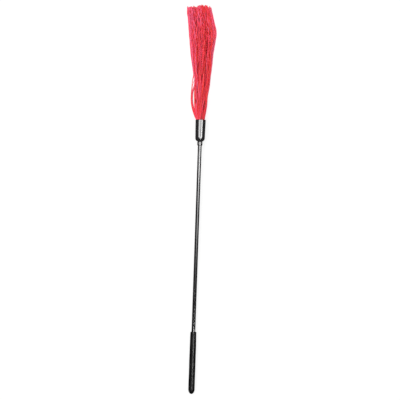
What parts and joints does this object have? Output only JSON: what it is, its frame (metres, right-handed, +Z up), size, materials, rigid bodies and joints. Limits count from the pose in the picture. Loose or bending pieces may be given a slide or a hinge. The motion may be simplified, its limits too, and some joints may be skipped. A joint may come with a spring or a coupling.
{
  "type": "tassel stick",
  "caption": "Slim black hand-held stick with a dipped rubber grip at one end and a limp red rubber-strand tassel in a cup ferrule at the other, lying flat.",
  "frame": {"origin": "on the surface the stick lies on, under the middle of its overall length and under its axis", "axes": "+Y along the stick from the butt of the grip to the tips of the tassel, +Z up from the surface, +X to the right; the stick's own axis climbs 0.407 degrees towards the ferrule, because the wide ferrule and the slimmer butt both rest on the surface"},
  "size_m": [0.0496, 0.65, 0.017],
  "materials": {
    "grip_rubber": "semi-matte dipped rubber",
    "gloss_black": "gloss",
    "ferrule_black": "polished gloss",
    "red_rubber": "satin cut rubber strands",
    "fibreglass": "pultruded rod",
    "cap_vinyl": "soft vinyl",
    "adhesive": "cast adhesive",
    "thread": "waxed thread"
  },
  "bodies": {
    "stick": {"grip_sleeve": "grip_rubber", "rod_end_cap": "cap_vinyl", "core_rod": "fibreglass", "shaft_sleeve": "gloss_black", "neck_collar": "gloss_black", "ferrule_cup": "ferrule_black", "glue_plug": "adhesive", "fringe_header": "red_rubber", "binding_thread": "thread"},
    "tassel_neck": {"tassel_neck": "red_rubber"},
    "tassel_middle": {"left_outer_lock_middle": "red_rubber", "left_inner_lock_middle": "red_rubber", "centre_lock_middle": "red_rubber", "right_inner_lock_middle": "red_rubber", "right_outer_lock_middle": "red_rubber"},
    "left_outer_tip": {"left_outer_lock_tip": "red_rubber"},
    "left_inner_tip": {"left_inner_lock_tip": "red_rubber"},
    "centre_tip": {"centre_lock_tip": "red_rubber"},
    "right_inner_tip": {"right_inner_lock_tip": "red_rubber"},
    "right_outer_tip": {"right_outer_lock_tip": "red_rubber"}
  },
  "joints": [
    {"name": "tassel_sway", "type": "hinge", "parent": "stick", "child": "tassel_neck", "pos_m": [0, 0.14149, 0.0079], "axis": [0, 0, 1], "range_deg": [-55, 55]},
    {"name": "tassel_lift", "type": "hinge", "parent": "tassel_neck", "child": "tassel_middle", "pos_m": [0, 0.17319, 0.0119], "axis": [1, 0, 0], "range_deg": [0, 45]},
    {"name": "left_outer_lock_lift", "type": "hinge", "parent": "tassel_middle", "child": "left_outer_tip", "pos_m": [0, 0.23319, 0.0072], "axis": [1, 0, 0], "range_deg": [0, 45]},
    {"name": "left_inner_lock_lift", "type": "hinge", "parent": "tassel_middle", "child": "left_inner_tip", "pos_m": [0, 0.23319, 0.0072], "axis": [1, 0, 0], "range_deg": [0, 45]},
    {"name": "centre_lock_lift", "type": "hinge", "parent": "tassel_middle", "child": "centre_tip", "pos_m": [0, 0.23319, 0.0072], "axis": [1, 0, 0], "range_deg": [0, 45]},
    {"name": "right_inner_lock_lift", "type": "hinge", "parent": "tassel_middle", "child": "right_inner_tip", "pos_m": [0, 0.23319, 0.0072], "axis": [1, 0, 0], "range_deg": [0, 45]},
    {"name": "right_outer_lock_lift", "type": "hinge", "parent": "tassel_middle", "child": "right_outer_tip", "pos_m": [0, 0.23319, 0.0072], "axis": [1, 0, 0], "range_deg": [0, 45]}
  ]
}
